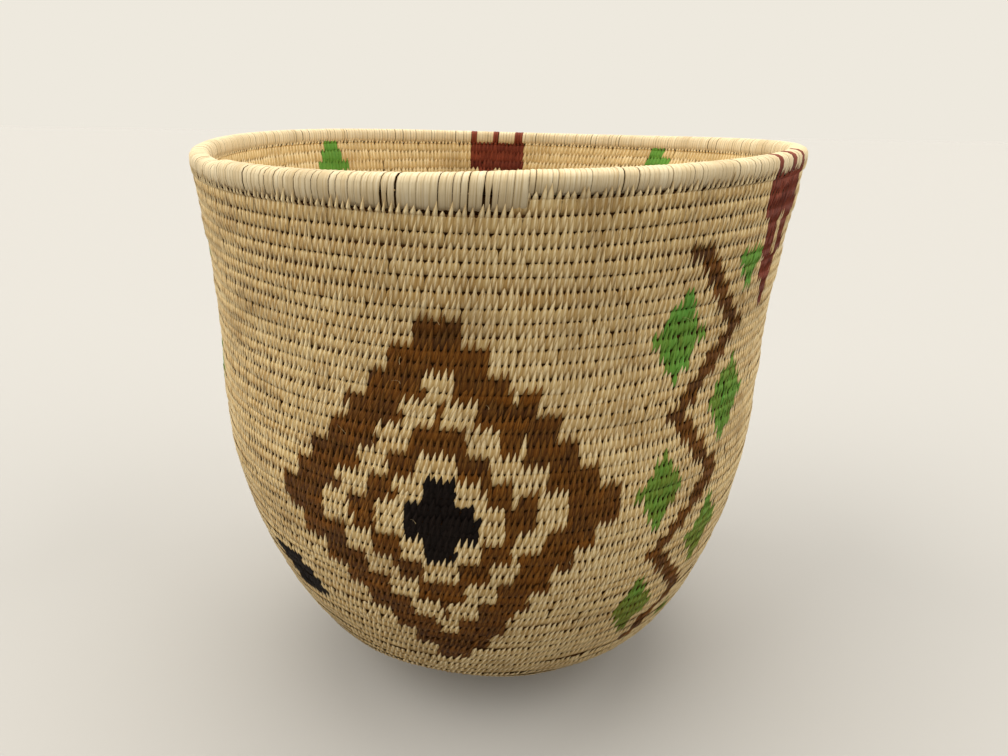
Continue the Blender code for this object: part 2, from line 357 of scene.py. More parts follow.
@dataclass
class BasketForm:
    """The wall's middle surface and the coil's run over it, in the sizes of the solids."""

    knots: tuple[Pair, ...] = (
        (0.0445, 0.0100), (0.0635, 0.0237), (0.0800, 0.0700), (0.0822, 0.1270),
    )
    base_radius: float = 0.030
    rim_radius: float = 0.0860
    height: float = 0.1666
    coil_pitch: float = 0.0034
    coil_thickness: float = 0.0042
    knot_radius: float = 0.0040
    rim_height: float = 0.0052
    rim_thickness: float = 0.0052
    tail_tip_height: float = 0.0010
    end_angle: float = math.radians(-85.0)
    rest_cut: float = 0.0005
    belly_sway: float = 0.0015
    rim_saddle: float = 0.0014
    saddle_ridge: float = math.radians(-18.0)
    turn_stations: int = 20
    tail_stations: int = 3
    profile_steps: int = 24
    # Handmade unevenness of the rounds, which the solids leave out: its size, the rate and
    # start of each of its waves, and the stations from the knot over which it grows
    seam_wave: float = 0.00014
    seam_waves: tuple[Pair, ...] = ((1.31, 0.0), (2.17, 1.0), (0.57, 2.0))
    seam_growth: float = 60.0
    face_wave: float = 0.00022
    face_waves: tuple[Pair, ...] = ((0.83, 0.4), (1.93, 0.0), (3.7, 2.2))
    face_growth: float = 200.0
    # How far the profile's line runs on past both of its ends
    overrun: float = 0.02
    shift: Vector = field(default_factory=Vector)

    def __post_init__(self) -> None:
        """Work out the profile's line and the coil's climb."""
        rest = self.rest = self.coil_thickness / 2 - self.rest_cut
        stops = [(self.base_radius, rest), *self.knots, (self.rim_radius, self.height)]
        spots = [Vector(stop) for stop in stops]
        slopes = [Vector((1.0, 0.0))]
        slopes += [(after - before).normalized() for before, after in zip(spots, spots[2:])]
        slopes.append((spots[-1] - spots[-2]).normalized())
        line = [Vector((0.0, rest))]
        for index in range(len(spots) - 1):
            start, end = spots[index], spots[index + 1]
            reach = (end - start).length / 3
            curve = interpolate_bezier(
                start, start + slopes[index] * reach, end - slopes[index + 1] * reach, end,
                self.profile_steps,
            )
            line.extend(curve if index == 0 else curve[1:])
        over = slopes[-1] * self.overrun
        self.line = np.array([(-self.overrun, rest), *line, line[-1] + over])
        steps = np.linalg.norm(np.diff(self.line, axis=0), axis=1)
        self.marks = np.concatenate(([0.0], np.cumsum(steps))) - self.overrun
        self.length = float(self.marks[-2])
        wound = self.length - self.knot_radius - self.rim_height
        self.end = round(wound / self.coil_pitch * self.turn_stations)
        self.climb = wound / self.end
        self.pitch = self.climb * self.turn_stations
        self.rim_start = self.end - self.turn_stations

    def along(self, distance: Array) -> tuple[Array, Array]:
        """Return the profile's radii and heights at distances from the axis."""
        return (np.interp(distance, self.marks, self.line[:, 0]),
                np.interp(distance, self.marks, self.line[:, 1]))

    def point(self, distance: Array, offset: Array, station: Array) -> Array:
        """Return points in space.

        Args:
            distance: Distances along the profile from the axis.
            offset: Distances outwards from the middle of the wall.
            station: Places along the coil, in steps from its start.

        Returns:
            The points, with their three coordinates along the last axis.
        """
        reach = self.coil_pitch / 2
        radius, height = self.along(distance)
        far = self.along(distance + reach)
        near = self.along(distance - reach)
        across, up = far[0] - near[0], far[1] - near[1]
        length = np.hypot(across, up)
        radius = radius + up / length * offset
        height = height - across / length * offset
        angle = self.angle(station)
        rise = height / self.height
        sway = self.belly_sway * np.sin(math.pi * rise) ** 2
        saddle = self.rim_saddle * rise * np.abs(rise) * np.cos(2 * (angle - self.saddle_ridge))
        x, y = radius * np.cos(angle) - sway, radius * np.sin(angle)
        return stacked(x, y, height + saddle) - np.array(self.shift)

    def angle(self, station: Array) -> Array:
        """Return the angle round the axis at places along the coil."""
        return self.end_angle + (self.end - station) * TURN / self.turn_stations

    def seam(self, station: Array, wavy: bool = True) -> Array:
        """Return where the seam under the coil lies.

        Args:
            station: Places along the coil.
            wavy: Whether to add the unevenness of work done by hand.

        Returns:
            Distances along the profile.
        """
        swell = ramp(station, self.end, self.tail_stations)
        seam = self.knot_radius + self.climb * station + (self.rim_height - self.pitch) * swell
        if not wavy:
            return seam
        wave = sum(np.sin(station * rate + start) for rate, start in self.seam_waves)
        calm = ramp(self.end - station, 0.0, self.turn_stations)
        return seam + self.seam_wave * wave * calm * ramp(station, 0.0, self.seam_growth)

    def bump(self, station: Array) -> Array:
        """Return how far the coil stands out of line, at places along it."""
        wave = sum(np.sin(station * rate + start) for rate, start in self.face_waves)
        return self.face_wave / 2 * wave * ramp(station, 0.0, self.face_growth)

    def settle(self) -> None:
        """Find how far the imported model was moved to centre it, from its rim coil's box."""
        stations = np.arange(self.rim_start, self.end + 1)
        low = self.seam(stations, wavy=False)
        high = self.seam(stations + self.turn_stations, wavy=False)
        swell = ramp(stations, self.rim_start, self.tail_stations)
        width = self.coil_thickness + (self.rim_thickness - self.coil_thickness) * swell
        # The rim coil's solid has eight sides, and these are the corners of the outer one
        corner = math.tan(math.pi / 8)
        spots = []
        for share in (-corner, corner):
            distance = (low + high) / 2 + (high - low) / 2 * share
            spots.append(self.point(distance, width / 2, stations))
        spots = np.concatenate(spots)
        lowest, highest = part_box("rim_coil")
        middle = (spots.min(axis=0) + spots.max(axis=0)) / 2
        packed = (np.array(lowest) + np.array(highest)) / 2
        self.shift = Vector((middle[0] - packed[0], middle[1] - packed[1], 0.0))
        LOG.info("packed model sits %.2f mm, %.2f mm from the axis",
                 self.shift.x / MM, self.shift.y / MM)


@dataclass
class StripTemplate:
    """One strip of leaf, modelled once: a thin closed sliver with a raised middle."""

    rings: int
    floor_edge: float = 0.00015

    def __post_init__(self) -> None:
        """Model the sliver in edit mode and read it as arrays."""
        bpy.ops.object.select_all(action="DESELECT")
        bpy.ops.mesh.primitive_cylinder_add(
            vertices=3, radius=1.0, depth=1.0, location=(0.0, 0.5, 0.0),
            rotation=(math.pi / 2, 0.0, 0.0))
        sliver = bpy.context.object
        bpy.ops.object.transform_apply(location=True, rotation=True, scale=True)
        bpy.ops.object.mode_set(mode="EDIT")
        for ring in range(1, self.rings - 1):
            bpy.ops.mesh.select_all(action="SELECT")
            bpy.ops.mesh.bisect(plane_co=(0.0, ring / (self.rings - 1), 0.0), plane_no=(0, 1, 0))
        face_outwards()
        mesh = sliver.data
        spots = np.array([vertex.co for vertex in mesh.vertices])
        self.side = np.sign(np.round(spots[:, 0], 3))
        self.ring = np.round(spots[:, 1] * (self.rings - 1)).astype(int)
        self.crown = (self.side == 0).astype(float)
        faces = [tuple(face.vertices) for face in mesh.polygons]
        self.sizes = np.array([len(face) for face in faces])
        self.corners = np.concatenate(faces)
        bpy.data.objects.remove(sliver)
        bpy.data.meshes.remove(mesh)

    def clear_floor(self, spots: Array) -> None:
        """Lift low strips: their raised middles onto the floor, their edges a hair over it."""
        floor = np.where(self.crown > 0, 0.0, self.floor_edge)
        spots[..., 2] = np.maximum(spots[..., 2], floor)


@dataclass
class Strips:
    """Laid strips: a point, a UV and the marks for each vertex of each strip."""

    template: StripTemplate
    spots: Array
    uvs: Array
    marks: Array

    def pick(self, chosen: Array) -> "Strips":
        """Return only the chosen strips."""
        return Strips(self.template, self.spots[chosen], self.uvs[chosen], self.marks[chosen])


def strip_piece(
        name: str, laid: list[Strips], finish: PalmStripFinish, nodes: list[str],
        crease: float = 30.0) -> None:
    """Turn laid strips into one piece of the basket, each strip a closed sliver of its own.

    Args:
        name: Name of the piece.
        laid: Strips, which may come from several templates.
        finish: Finish of the strips.
        nodes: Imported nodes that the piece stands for.
        crease: Angle in degrees from which an edge stays sharp.
    """
    corners, sizes, start = [], [], 0
    for strips in laid:
        template, count = strips.template, len(strips.spots)
        steps = start + np.arange(count)[:, None] * len(template.side)
        corners.append((steps + template.corners).ravel())
        sizes.append(np.tile(template.sizes, count))
        start += count * len(template.side)
    corners, sizes = np.concatenate(corners), np.concatenate(sizes)
    spots = np.concatenate([strips.spots.reshape(-1, 3) for strips in laid])
    uvs = np.concatenate([strips.uvs.reshape(-1, 2) for strips in laid])
    marks = np.concatenate([strips.marks.reshape(-1, 3) for strips in laid])

    mesh = bpy.data.meshes.new(name)
    mesh.vertices.add(len(spots))
    mesh.vertices.foreach_set("co", spots.astype(np.float32).ravel())
    mesh.loops.add(len(corners))
    mesh.loops.foreach_set("vertex_index", corners.astype(np.int32))
    mesh.polygons.add(len(sizes))
    starts = np.concatenate(([0], np.cumsum(sizes)[:-1])).astype(np.int32)
    mesh.polygons.foreach_set("loop_start", starts)
    mesh.update(calc_edges=True)
    layer = mesh.uv_layers.new(name=UV_NAME)
    layer.data.foreach_set("uv", uvs[corners].astype(np.float32).ravel())
    given = mesh.attributes.new(MARKS_NAME, "FLOAT_VECTOR", "POINT")
    given.data.foreach_set("vector", marks.astype(np.float32).ravel())
    mesh.shade_smooth()
    mesh.set_sharp_from_angle(angle=math.radians(crease))
    mesh.validate()
    mesh.materials.append(finish_material(finish))
    hand_in(in_scene(name, mesh), nodes)


def finish_material(finish: PalmStripFinish | FoundationFinish) -> bpy.types.Material:
    """Return a finish's material, built the first time that it is asked for."""
    return bpy.data.materials.get(finish.name) or finish.material()


def hand_in(piece: bpy.types.Object, nodes: list[str]) -> None:
    """Fix a finished piece to the basket's body.

    Args:
        piece: The finished piece.
        nodes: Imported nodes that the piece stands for.
    """
    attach(piece, BODY)
    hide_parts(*nodes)
    LOG.info("%s: %d faces for %s", piece.name, len(piece.data.polygons), ", ".join(nodes))


def nodes_named(*stems: str) -> list[str]:
    """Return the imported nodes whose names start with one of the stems."""
    return sorted(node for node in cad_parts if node.startswith(stems))


@dataclass
class DyedDesign:
    """A stepped geometric design, counted in stitches and rounds as a sewer counts it.

    Three stepped diamonds stand round the wall, with stepped zigzags and green lozenges
    between them, rust pendants under the rim and small black blocks low down.
    """

    columns: int = 345
    repeats: int = 3
    diamond_angle: float = -98.0
    diamond_round: float = 22.0
    diamond_columns: float = 30.0
    diamond_rounds: float = 16.0
    # Shares of the way out from a diamond's middle: its black core and its pale lines
    core: float = 0.20
    pale_lines: tuple[Pair, ...] = ((0.52, 0.70), (0.20, 0.36))
    zigzag_angle: float = -50.0
    zigzag_rounds: tuple[int, int] = (4, 39)
    # Rounds from bend to bend, columns that a round steps aside, and half the line's width
    zigzag_bend: int = 6
    zigzag_step: float = 2.0
    zigzag_half: float = 2.1
    # Columns from the zigzag's middle to its lozenges
    lozenge_away: float = 7.5
    lozenge_half: Pair = (5.2, 3.6)
    pendant_angles: tuple[float, ...] = (-34.0, 91.0)
    # Each step of a pendant: the round above which it ends, and half its columns
    pendant_steps: tuple[tuple[int, float], ...] = ((3, 7.0), (6, 5.0), (8, 3.0), (10, 1.2))
    # Rounds between which a pendant is slit, and half the slit's columns
    pendant_slit: tuple[int, int, float] = (2, 6, 1.0)
    # Columns from one pair of rust strips on the rim to the next, and those in a pair
    rim_pairs: Pair = (6.0, 2.0)
    rim_lozenge_angles: tuple[float, ...] = (139.0, 45.0)
    rim_lozenge_round: float = 2.0
    rim_lozenge_half: Pair = (4.5, 3.5)
    block_angle: float = -137.0
    block_rounds: tuple[int, int] = (30, 34)
    block_lean: float = 1.5
    block_half: float = 5.1

    def away(self, angle: Array, centre: float, repeats: int) -> Array:
        """Return columns past the nearest repeat of a motif's centre line."""
        span = TURN / repeats
        return ((angle - math.radians(centre) + span / 2) % span - span / 2) / TURN * self.columns

    def lozenge(self, across: Array, down: Array, half: Pair) -> Array:
        """Tell which stitches lie in a lozenge of half so many columns and rounds."""
        return np.abs(across) / half[0] + np.abs(down) / half[1] < 1.0

    def dyes(self, angle: Array, rounds: Array) -> Array:
        """Return each stitch's dye.

        Args:
            angle: Angles of the stitches round the axis.
            rounds: Whole rounds down from the rim coil.

        Returns:
            The dyes.
        """
        dye = np.full(angle.shape, Dye.NATURAL)
        self.add_diamonds(dye, angle, rounds)
        self.add_zigzags(dye, angle, rounds)
        self.add_pendants(dye, angle, rounds)
        self.add_blocks(dye, angle, rounds)
        return dye

    def add_diamonds(self, dye: Array, angle: Array, rounds: Array) -> None:
        """Sew the brown diamonds, with a pale stepped line inside and a black core.

        Args:
            dye: Dyes of the stitches, in which the motif's own are set.
            angle: Angles of the stitches round the axis.
            rounds: Whole rounds down from the rim coil.
        """
        across = self.away(angle, self.diamond_angle, self.repeats)
        down = rounds - self.diamond_round
        step = np.floor((np.abs(down) + 0.5) / 2) * 2
        far = np.abs(across) / self.diamond_columns + step / self.diamond_rounds
        dye[far < 1.0] = Dye.BROWN
        for near, past in self.pale_lines:
            dye[(far > near) & (far < past)] = Dye.NATURAL
        dye[far <= self.core] = Dye.BLACK

    def add_zigzags(self, dye: Array, angle: Array, rounds: Array) -> None:
        """Sew the brown zigzag lines and the green lozenges in their bends.

        Args:
            dye: Dyes of the stitches, in which the motif's own are set.
            angle: Angles of the stitches round the axis.
            rounds: Whole rounds down from the rim coil.
        """
        (first, last), bend = self.zigzag_rounds, self.zigzag_bend
        phase = (rounds - first) % (2 * bend)
        middle = (np.where(phase < bend, phase, 2 * bend - phase) - bend / 2) * self.zigzag_step
        across = self.away(angle, self.zigzag_angle, self.repeats)
        for side in (1, -1):
            centre = first + (bend if side < 0 else 2 * bend)
            down = (rounds - centre + bend) % (2 * bend) - bend
            green = self.lozenge(across - side * self.lozenge_away, down, self.lozenge_half)
            dye[green & (rounds > first) & (rounds < last)] = Dye.GREEN
        line = np.abs(across - middle) < self.zigzag_half
        dye[line & (rounds >= first) & (rounds <= last)] = Dye.BROWN

    def add_pendants(self, dye: Array, angle: Array, rounds: Array) -> None:
        """Sew the rust pendants and green lozenges that hang from the rim.

        Args:
            dye: Dyes of the stitches, in which the motif's own are set.
            angle: Angles of the stitches round the axis.
            rounds: Whole rounds down from the rim coil.
        """
        top, foot, slit = self.pendant_slit
        for centre in self.pendant_angles:
            across = np.abs(self.away(angle, centre, 1))
            wide = np.select(
                [rounds < end for end, _ in self.pendant_steps],
                [half for _, half in self.pendant_steps], 0.0)
            cut = (across < slit) & (rounds > top) & (rounds < foot)
            dye[(across < wide) & ~cut] = Dye.RUST
        for centre in self.rim_lozenge_angles:
            down = rounds - self.rim_lozenge_round
            green = self.lozenge(self.away(angle, centre, 1), down, self.rim_lozenge_half)
            dye[green] = Dye.GREEN

    def add_blocks(self, dye: Array, angle: Array, rounds: Array) -> None:
        """Sew the small black stepped blocks low on the wall.

        Args:
            dye: Dyes of the stitches, in which the motif's own are set.
            angle: Angles of the stitches round the axis.
            rounds: Whole rounds down from the rim coil.
        """
        top, foot = self.block_rounds
        across = self.away(angle, self.block_angle, self.repeats)
        across = across - (rounds - top) * self.block_lean
        block = (np.abs(across) < self.block_half) & (rounds >= top) & (rounds < foot)
        dye[block] = Dye.BLACK

    def rim_dyes(self, angle: Array) -> Array:
        """Return the dyes of the rim's strips: pairs of rust run up from each pendant.

        Args:
            angle: Angles of the strips round the axis.

        Returns:
            The dyes.
        """
        dye = np.full(angle.shape, Dye.NATURAL)
        half, (every, pair) = self.pendant_steps[0][1], self.rim_pairs
        for centre in self.pendant_angles:
            across = self.away(angle, centre, 1)
            dye[(np.abs(across) < half) & ((across + half) % every < pair)] = Dye.RUST
        return dye


@dataclass
class StitchedWall:
    """The strips that wrap every round of base, bowl and wall, outside and inside."""

    form: BasketForm
    design: DyedDesign
    stitch_spacing: float = 0.00152
    most_per_turn: float = 345.0
    stitches_per_strip: float = 18.0
    # Each ring of a strip: share of the round's height, width, height over the middle
    # surface, and height of its raised middle
    outside_rings: tuple[tuple[float, float, float, float], ...] = (
        (-0.05, 1.04, 1.56, 0.02),
        (0.10, 1.16, 1.87, 0.03),
        (0.34, 1.18, 1.97, 0.05),
        (0.58, 1.16, 1.99, 0.10),
        (0.76, 1.06, 1.94, 0.18),
        (0.85, 0.80, 1.88, 0.24),
        (0.92, 0.50, 1.85, 0.28),
        (1.08, 0.44, 1.86, 0.28),
        (1.26, 0.37, 1.97, 0.21),
        (1.46, 0.22, 2.08, 0.13),
        (1.74, 0.03, 2.12, 0.04),
    )
    inside_rings: tuple[tuple[float, float, float, float], ...] = (
        (-0.05, 1.06, 1.54, 0.03),
        (0.20, 1.18, 1.90, 0.04),
        (0.60, 1.18, 1.97, 0.09),
        (0.90, 1.06, 1.87, 0.16),
        (1.03, 0.74, 1.82, 0.20),
        (1.40, 0.08, 2.04, 0.10),
    )
    # Where a strip's parts lie, as shares of the round's height: its tip begins, its own
    # length of tip begins to count, and it has its full lean
    tip_start: float = 0.90
    long_tip_start: float = 1.06
    full_lean: float = 1.1
    # Where the strips leave their own round and lie on the one above
    onto_next: Pair = (0.85, 0.20)
    # How stitches vary, as shares of a plain one: mean and spread, then least and most
    widths: tuple[float, ...] = (1.0, 0.06, 0.88, 1.15)
    tips: tuple[float, ...] = (1.0, 0.16, 0.6, 1.5)
    reaches: tuple[float, ...] = (0.85, 0.25, 0.35, 1.5)
    leans: Pair = (0.35, 0.12)
    place_spread: float = 0.07
    height_spread: float = 0.025
    fade_spread: float = 0.12
    # Tones, from 0 as deep to 1 as pale: mean, spread by stitch and spread by strip of leaf
    undyed_tones: tuple[float, float, float] = (0.66, 0.11, 0.09)
    dyed_tones: tuple[float, float, float] = (0.54, 0.17, 0.22)
    # Green turns olive going down: its tone at the rim, the rounds that it takes, and spread
    green_tones: tuple[float, float, float] = (1.1, 32.0, 0.12)
    # The inside's undyed strips are drawn a shade paler: painted light, for the brighter light
    # inside the mouth
    inside_painted_light: float = 0.38
    # Shares of a stitch by which the tips lean over to one side, and how that drifts
    slant: float = 0.20
    slant_drift: float = 0.50
    drift_start: float = 0.17
    drift_stations: float = 800.0
    # The last round's tips lie over the foot of the rim coil, and are broader
    last_tip_start: float = 0.83
    last_tip_width: float = 1.5
    last_lift: float = 0.00035
    # Tips are wider lower down, where the stitches are tighter, and on the black strips
    low_tip_rounds: float = 12.0
    low_tip_width: float = 1.42
    black_tip_width: float = 1.6
    # Stitches that go on under the start of the lashing
    under_lashing: int = 3
    under_sink: float = 0.00035
    # Stations between the places at which the stitches are counted
    count_step: float = 0.1
    tiers: tuple[int, int] = (4, 3)
    seed: int = 11

    def __post_init__(self) -> None:
        """Place every stitch along the coil and give it its dye."""
        form = self.form
        self.random = np.random.default_rng(self.seed)
        fine = np.arange(0.0, form.end + form.turn_stations * 2, self.count_step)
        radius, _ = form.along(form.seam(fine, wavy=False) + form.pitch / 2)
        per_turn = np.minimum(radius * TURN / self.stitch_spacing, self.most_per_turn)
        passed = np.cumsum(per_turn[:-1] * self.count_step / form.turn_stations)
        count = np.concatenate(([0.0], passed))

        last = np.interp(form.rim_start, fine, count)
        numbers = np.arange(int(last) + self.under_lashing) + 0.5
        self.station = np.interp(numbers, count, fine)
        before, after = (np.interp(numbers + half, count, fine) for half in (-0.5, 0.5))
        self.spacing = after - before
        above = np.interp(self.station + form.turn_stations, fine, count)
        target = np.interp(np.round(above - 0.5), count, fine) - form.turn_stations
        self.lean = self.station - target

        amount = len(numbers)
        stray = self.random.normal(0, self.place_spread, amount)
        self.station = self.station + self.spacing * stray
        climb = (self.station - form.end) / self.drift_stations
        drift = np.sin(2.0 * form.angle(self.station) + self.drift_start + climb)
        slant = (self.slant + self.slant_drift * drift) * self.spacing
        self.lean = self.lean * self.random.normal(*self.leans, amount) + slant
        self.width = vary(self.random, amount, self.widths)
        self.tip = vary(self.random, amount, self.tips)
        self.reach = vary(self.random, amount, self.reaches)
        fade = self.random.normal(0.0, self.fade_spread, amount)
        rounds = np.floor((form.rim_start - self.station) / form.turn_stations)
        self.rounds = np.maximum(rounds.astype(int), 0)
        self.dye = self.design.dyes(form.angle(self.station), self.rounds)
        low = ramp(self.rounds, 0.0, self.low_tip_rounds)
        self.tip = self.tip * (1.0 + (self.low_tip_width - 1.0) * low)
        self.tip[self.dye == Dye.BLACK] *= self.black_tip_width
        # Each strip of leaf makes a run of stitches before the next is spliced in
        runs = np.cumsum(self.random.random(amount) < 1.0 / self.stitches_per_strip)
        batch = self.random.normal(0.0, 1.0, runs[-1] + 1)[runs]
        undyed, dyed = (
            mean + by_stitch * fade / self.fade_spread + by_leaf * batch
            for mean, by_stitch, by_leaf in (self.undyed_tones, self.dyed_tones))
        top, olive_rounds, by_leaf = self.green_tones
        green = top - self.rounds / olive_rounds + fade + by_leaf * batch
        self.tone = np.select(
            [self.dye == Dye.NATURAL, self.dye == Dye.GREEN], [undyed, green], dyed).clip(0, 1)

    def lay(self, side: Side) -> Strips:
        """Lay all the strips of one face.

        Args:
            side: The face of the wall.

        Returns:
            The strips, in order along the coil.
        """
        form = self.form
        outside = side is Side.OUTSIDE
        rings = np.array(self.outside_rings if outside else self.inside_rings)
        template = StripTemplate(len(rings))
        share, wide, high, crown = (rings[template.ring, column] for column in range(4))
        station, spacing = self.station[:, None], self.spacing[:, None]
        past = np.maximum(share - self.long_tip_start, 0.0)
        share = np.minimum(share, self.long_tip_start) + past * self.reach[:, None]
        broad = np.where(share < self.tip_start, self.width[:, None], self.tip[:, None])
        last = (self.rounds == 0)[:, None]
        last_tips = last & (share > self.last_tip_start) & outside
        half = wide * broad * spacing / 2 * np.where(last_tips, self.last_tip_width, 1.0)
        lean = self.lean[:, None] * share / self.full_lean * side
        place = station - lean - template.side * half * side

        low = form.seam(place)
        top = form.seam(place + form.turn_stations)
        over = np.minimum(form.seam(place + 2 * form.turn_stations) - top, form.pitch)
        distance = low + (top - low) * np.minimum(share, 1.0) + over * np.maximum(share - 1.0, 0.0)
        height = high * MM + template.crown * crown * MM
        height = height + np.where(last & (share > 1.0), self.last_lift, 0.0)
        height = height - np.where(station > form.rim_start, self.under_sink, 0.0)
        own = side * form.bump(place)
        upper = side * form.bump(place + form.turn_stations)
        height = height + own + (np.maximum(own, upper) - own) * ramp(share, *self.onto_next)
        uneven = self.random.normal(0.0, self.height_spread, len(station))[:, None] * MM
        spots = form.point(distance, side * (height + uneven), place)
        template.clear_floor(spots)

        radius, _ = form.along(form.seam(station, wavy=False))
        metres = radius * TURN / form.turn_stations
        across = template.side * half * metres / MM
        uvs = leaf_uvs(self.random, across, share * form.pitch / MM)
        plain = self.dye[:, None] == Dye.NATURAL
        # Painted light: the undyed strips of the inside are paled
        tone = self.tone[:, None] + (0.0 if outside else self.inside_painted_light) * plain
        return Strips(template, spots, uvs, stacked(tone, template.crown, share))

    def build(self) -> None:
        """Make the pieces: by dye, and for undyed strips by tier and face."""
        outer, inner = self.lay(Side.OUTSIDE), self.lay(Side.INSIDE)
        form, finish = self.form, STRIP_FINISHES[Dye.NATURAL]
        radius, height = form.along(form.seam(self.station, wavy=False))
        base = radius < form.base_radius
        bowl = ~base & (height < form.knots[1][1])
        wall = ~base & ~bowl
        natural = self.dye == Dye.NATURAL

        laid = [outer.pick(base & natural), inner.pick(base & natural)]
        strip_piece("base_strips", laid, finish, nodes_named("base_coil"))
        faces = (("outside", outer), ("inside", inner))
        for face, strips in faces:
            laid = [strips.pick(bowl & natural)]
            strip_piece(f"bowl_strips_{face}", laid, finish, nodes_named("bowl_coil"))

        coils = nodes_named("wall_coil")
        first, last = self.station[wall].min(), self.station[wall].max()
        for (face, strips), tiers in zip(faces, self.tiers):
            ends = np.linspace(first, last + 1, tiers + 1)
            splits = np.linspace(0, len(coils), tiers + 1).round().astype(int)
            for tier in range(tiers):
                within = (self.station >= ends[tier]) & (self.station < ends[tier + 1])
                laid = [strips.pick(within & wall & natural)]
                nodes = coils[splits[tier]:splits[tier + 1]]
                strip_piece(f"wall_strips_{face}_{tier + 1}", laid, finish, nodes)

        for dye in (Dye.BROWN, Dye.BLACK, Dye.GREEN, Dye.RUST):
            for face, strips in faces:
                laid = [strips.pick(self.dye == dye)]
                name = f"{dye.name.lower()}_strips_{face}"
                strip_piece(name, laid, STRIP_FINISHES[dye], coils)


@dataclass
class FoundationCoil:
    """The long bundle of fibre inside the stitches, from the knot to the tapered tail."""

    form: BasketForm
    steps_per_station: int = 5
    points: int = 8
    half_thickness: float = 0.00150
    overlap: float = 0.00005
    floor: float = 0.00040
    square: float = 0.4
    under_rim: float = 0.0003
    tail_thinning: float = 0.0008

    def build(self) -> None:
        """Sweep a rounded section along the coil and close its ends."""
        form = self.form
        last = form.end + form.tail_stations
        station = np.linspace(0.0, last, last * self.steps_per_station + 1)[:, None]
        turn = np.arange(self.points) * TURN / self.points
        low = form.seam(station)
        high = form.seam(station + form.turn_stations)
        tail = ramp(station, form.end, form.tail_stations)
        rim = ramp(station, form.rim_start, form.tail_stations)
        high = np.where(station > form.end, form.length, high)
        tip = form.tail_tip_height
        high = high + (low + tip - high) * tail
        swell = (form.rim_thickness - form.coil_thickness) / 2 * rim * (1.0 - tail)
        middle, tall = (low + high) / 2, np.maximum((high - low) / 2 + self.overlap, tip / 2)
        tall = tall - self.under_rim * rim
        wide = self.half_thickness + swell - self.tail_thinning * tail - self.under_rim * rim
        power = self.square + (1.0 - self.square) * rim
        distance = middle + tall * squared(np.sin(turn), power)
        offset = wide * squared(np.cos(turn), power) + form.bump(station)
        spots = form.point(distance, offset, station)
        spots[..., 2] = np.maximum(spots[..., 2], self.floor)

        bpy.ops.object.select_all(action="DESELECT")
        rings = np.arange(spots[..., 0].size).reshape(spots.shape[:2])
        beside = np.roll(rings, -1, axis=1)
        quads = np.stack((rings[:-1], rings[1:], beside[1:], beside[:-1]), axis=-1)
        faces = [*quads.reshape(-1, 4).tolist(), rings[0].tolist(), rings[-1, ::-1].tolist()]
        mesh = bpy.data.meshes.new("foundation_coil")
        mesh.from_pydata(spots.reshape(-1, 3).tolist(), [], faces)
        piece = in_scene("foundation_coil", mesh)
        bpy.context.view_layer.objects.active = piece
        piece.select_set(True)
        bpy.ops.object.mode_set(mode="EDIT")
        face_outwards()
        mesh.shade_smooth()
        finish = FoundationFinish()
        mesh.materials.append(finish_material(finish))
        hand_in(piece, nodes_named("base_coil", "bowl_coil", "wall_coil", "rim_coil"))


